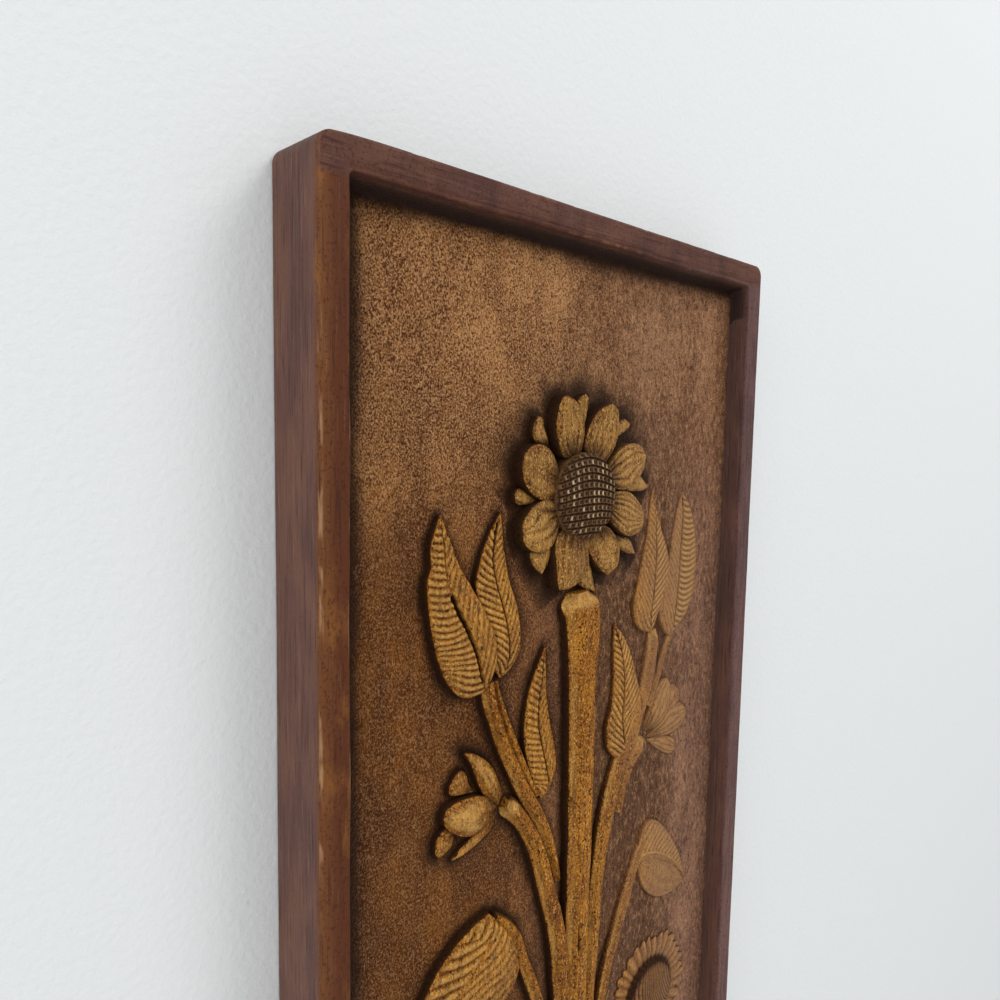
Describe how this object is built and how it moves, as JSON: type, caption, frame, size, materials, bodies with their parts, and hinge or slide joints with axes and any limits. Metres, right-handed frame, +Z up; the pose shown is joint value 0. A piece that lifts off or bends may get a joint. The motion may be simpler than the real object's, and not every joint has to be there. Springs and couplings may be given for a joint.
{
  "type": "carved wall plaque",
  "caption": "Upright wooden wall plaque: a plain raised rim round a sunk field carved in low relief with a sunflower, ribbed leaves, opening buds and daisies.",
  "frame": {"origin": "centre of the flat back face, which lies on the wall", "axes": "+Z up the plaque, +Y into the wall, and the carved front faces -Y with +X to its right"},
  "size_m": [0.23, 0.025, 0.513],
  "materials": {
    "carved_wood": "satin"
  },
  "bodies": {
    "root": {"plaque": "carved_wood"}
  },
  "joints": []
}
